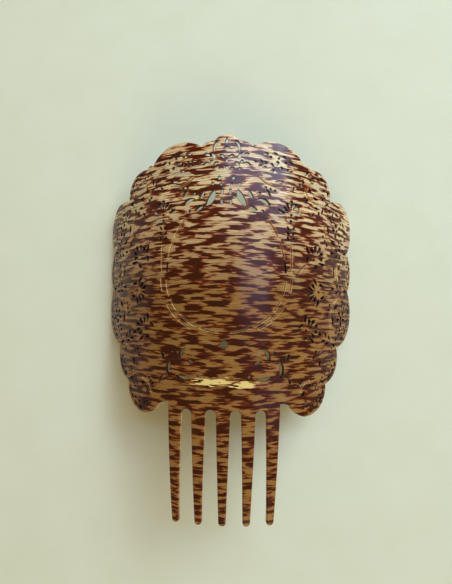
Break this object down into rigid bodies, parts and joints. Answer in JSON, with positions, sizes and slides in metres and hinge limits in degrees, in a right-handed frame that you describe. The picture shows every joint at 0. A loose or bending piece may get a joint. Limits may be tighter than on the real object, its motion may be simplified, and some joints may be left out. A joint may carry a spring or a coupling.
{
  "type": "decorative hair comb",
  "caption": "Tall curved mantilla-style hair comb with a scalloped, pierced heading bent from sheet and long straight teeth.",
  "frame": {"origin": "middle of the comb's bounding box, on the surface it lies on with its convex face up", "axes": "+X across the comb to the right seen from the convex face, +Y from the tooth tips to the crest, +Z out of the convex face at the middle"},
  "size_m": [0.165, 0.2384, 0.0482],
  "materials": {
    "heading_sheet": "polished imitation tortoiseshell sheet, amber with red-brown streaks",
    "tooth_sheet": "polished imitation tortoiseshell sheet, amber with red-brown streaks"
  },
  "bodies": {
    "root": {"crown": "heading_sheet", "lattice_band": "heading_sheet", "medallion": "heading_sheet", "scroll_band": "heading_sheet", "tooth_bar": "heading_sheet", "left_upper_border": "heading_sheet", "left_middle_border": "heading_sheet", "left_lower_border": "heading_sheet", "right_upper_border": "heading_sheet", "right_middle_border": "heading_sheet", "right_lower_border": "heading_sheet", "tooth_1": "tooth_sheet", "tooth_2": "tooth_sheet", "tooth_3": "tooth_sheet", "tooth_4": "tooth_sheet", "tooth_5": "tooth_sheet"}
  },
  "joints": []
}
